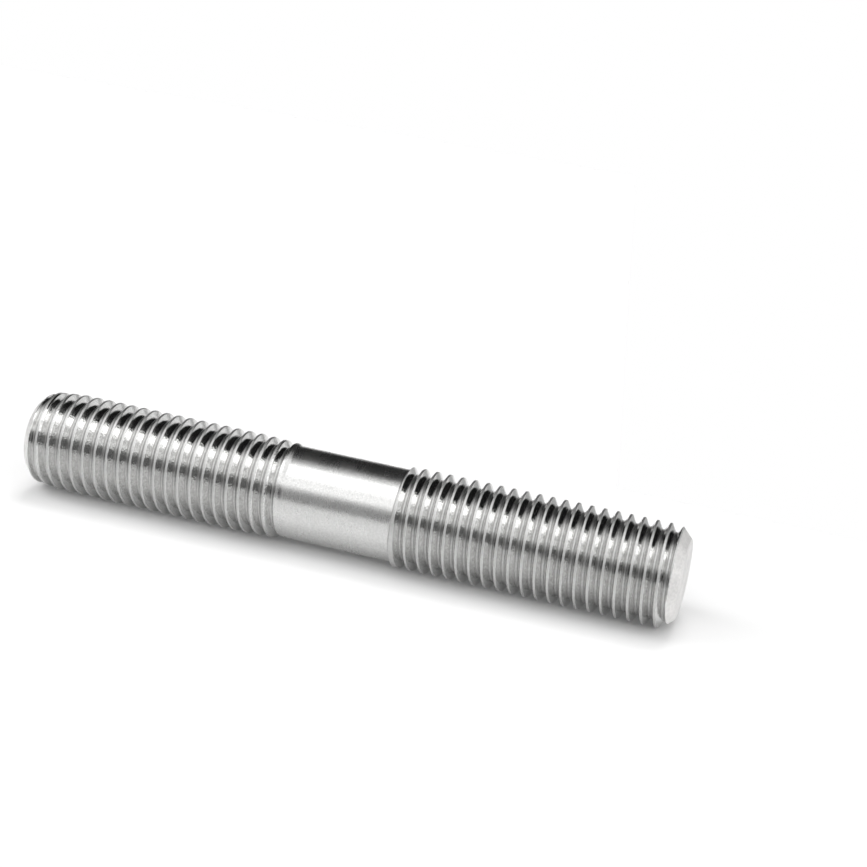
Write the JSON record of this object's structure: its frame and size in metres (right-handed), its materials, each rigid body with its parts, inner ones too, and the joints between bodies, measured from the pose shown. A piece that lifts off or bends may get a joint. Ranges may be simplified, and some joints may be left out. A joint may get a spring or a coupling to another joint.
{
  "type": "double ended stud",
  "caption": "Double ended stud of stainless steel: right-hand fine threads rolled from both chamfered ends, with a short plain shank between them.",
  "frame": {"origin": "middle of the lower end face, which the stud stands on", "axes": "+Z along the axis of the stud, from the lower end, whose thread has the longer lead and run-out, to the upper end; round about Z"},
  "size_m": [0.0118, 0.0118, 0.08],
  "materials": {
    "stainless_steel": "bright stainless steel, glossy rolled threads, faint drawing and turning marks on the shank and end faces"
  },
  "bodies": {
    "root": {"stud": "stainless_steel"}
  },
  "joints": []
}
